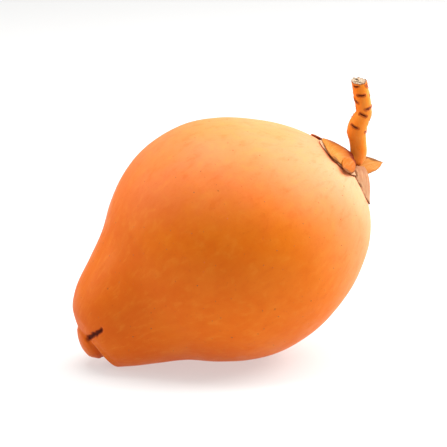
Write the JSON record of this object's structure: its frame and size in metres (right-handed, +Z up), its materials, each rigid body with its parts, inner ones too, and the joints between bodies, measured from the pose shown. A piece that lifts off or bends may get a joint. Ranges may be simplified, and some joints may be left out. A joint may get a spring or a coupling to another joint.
{
  "type": "king coconut",
  "caption": "Whole fresh king coconut lying on its side, orange husk with its bracts and a cut piece of stalk.",
  "frame": {"origin": "the middle of the spot on the belly where the husk rests on the table", "axes": "+X from the nose towards the stem end, +Y away from the viewer, +Z up"},
  "size_m": [0.1988, 0.1497, 0.1671],
  "materials": {
    "husk": "satin",
    "bract": "matte",
    "stalk": "satin"
  },
  "bodies": {
    "root": {"husk": "husk", "petal_lower": "bract", "petal_far": "bract", "petal_near": "bract", "sepal_upper": "bract", "sepal_front": "bract", "sepal_standing": "bract", "stalk": "stalk"}
  },
  "joints": []
}
